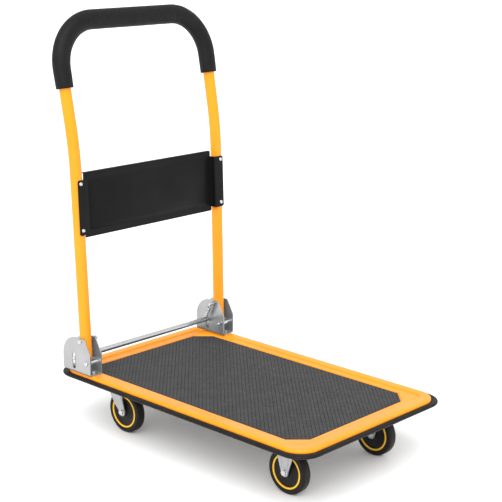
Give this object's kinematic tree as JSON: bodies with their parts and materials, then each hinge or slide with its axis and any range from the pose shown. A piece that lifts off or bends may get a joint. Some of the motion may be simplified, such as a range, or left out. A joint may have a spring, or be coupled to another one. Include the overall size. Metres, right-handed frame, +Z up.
{
  "type": "folding platform cart",
  "caption": "Folding platform cart with a pressed steel deck, rubber mat and bumper, a fold-down tube handle with foam grip, a latch rod, and swivel and rigid casters.",
  "frame": {"origin": "on the floor under the middle of the deck", "axes": "+Z up, +Y along the deck towards the handle, +X across the cart to the left of a person who pushes it from the handle towards -Y"},
  "size_m": [0.4516, 0.7182, 0.8855],
  "materials": {
    "orange_paint": "gloss powder coat",
    "mat_rubber": "fine ribbed, matt",
    "bumper_rubber": "smooth, satin",
    "grip_foam": "fine-celled foam, matt",
    "panel_black": "satin powder coat",
    "zinc": "bright zinc plate",
    "spring_steel": "drawn wire, bright",
    "tyre_rubber": "satin",
    "hub_plastic": "moulded, satin",
    "band_yellow": "moulded, satin"
  },
  "bodies": {
    "platform": {"deck_pan": "orange_paint", "deck_mat": "mat_rubber", "bumper": "bumper_rubber", "rib_front": "orange_paint", "rib_rear": "orange_paint", "rib_centre": "orange_paint", "bracket_left": "zinc", "pivot_pin_left": "zinc", "pivot_nut_left": "zinc", "stop_pin_left": "zinc", "stop_nut_left": "zinc", "stop_sleeve_left": "zinc", "base_bolt_front_left": "zinc", "base_bolt_rear_left": "zinc", "spring_left": "spring_steel", "caster_plate_rear_left": "zinc", "swivel_race_rear_left": "zinc", "kingpin_rear_left": "zinc", "fork_front_left": "zinc", "axle_front_left": "zinc", "bracket_right": "zinc", "pivot_pin_right": "zinc", "pivot_nut_right": "zinc", "stop_pin_right": "zinc", "stop_nut_right": "zinc", "stop_sleeve_right": "zinc", "base_bolt_front_right": "zinc", "base_bolt_rear_right": "zinc", "spring_right": "spring_steel", "caster_plate_rear_right": "zinc", "swivel_race_rear_right": "zinc", "kingpin_rear_right": "zinc", "fork_front_right": "zinc", "axle_front_right": "zinc"},
    "handle": {"handle_tube": "orange_paint", "grip": "grip_foam", "sign_panel": "panel_black", "rivet_lower_left": "zinc", "rivet_lower_right": "zinc", "rivet_upper_left": "zinc", "rivet_upper_right": "zinc"},
    "release_bar": {"release_rod": "zinc"},
    "swivel_left": {"fork_rear_left": "zinc", "axle_rear_left": "zinc"},
    "swivel_right": {"fork_rear_right": "zinc", "axle_rear_right": "zinc"},
    "wheel_front_left": {"hub_front_left": "hub_plastic", "band_front_left": "band_yellow", "tyre_front_left": "tyre_rubber"},
    "wheel_front_right": {"hub_front_right": "hub_plastic", "band_front_right": "band_yellow", "tyre_front_right": "tyre_rubber"},
    "wheel_rear_left": {"hub_rear_left": "hub_plastic", "band_rear_left": "band_yellow", "tyre_rear_left": "tyre_rubber"},
    "wheel_rear_right": {"hub_rear_right": "hub_plastic", "band_rear_right": "band_yellow", "tyre_rear_right": "tyre_rubber"}
  },
  "joints": [
    {"name": "handle_fold", "type": "hinge", "parent": "platform", "child": "handle", "pos_m": [0, 0.277, 0.204], "axis": [1, 0, 0], "range_deg": [0, 100]},
    {"name": "release_press", "type": "slide", "parent": "platform", "child": "release_bar", "axis": [0, 0, 1], "range_m": [-0.017, 0], "stiffness_N_per_m": 600, "springref_m": 0.01, "deforming": ["spring_left", "spring_right"]},
    {"name": "swivel_rear_left", "type": "hinge", "parent": "platform", "child": "swivel_left", "pos_m": [0.142, 0.2382, 0.1015], "axis": [0, 0, 1], "continuous": true},
    {"name": "swivel_rear_right", "type": "hinge", "parent": "platform", "child": "swivel_right", "pos_m": [-0.142, 0.2382, 0.1015], "axis": [0, 0, 1], "continuous": true},
    {"name": "spin_front_left", "type": "hinge", "parent": "platform", "child": "wheel_front_left", "pos_m": [0.134, -0.245, 0.0465], "axis": [1, 0, 0], "continuous": true},
    {"name": "spin_front_right", "type": "hinge", "parent": "platform", "child": "wheel_front_right", "pos_m": [-0.134, -0.245, 0.0465], "axis": [1, 0, 0], "continuous": true},
    {"name": "spin_rear_left", "type": "hinge", "parent": "swivel_left", "child": "wheel_rear_left", "pos_m": [0.142, 0.2142, 0.0465], "axis": [1, 0, 0], "continuous": true},
    {"name": "spin_rear_right", "type": "hinge", "parent": "swivel_right", "child": "wheel_rear_right", "pos_m": [-0.142, 0.2142, 0.0465], "axis": [1, 0, 0], "continuous": true}
  ]
}
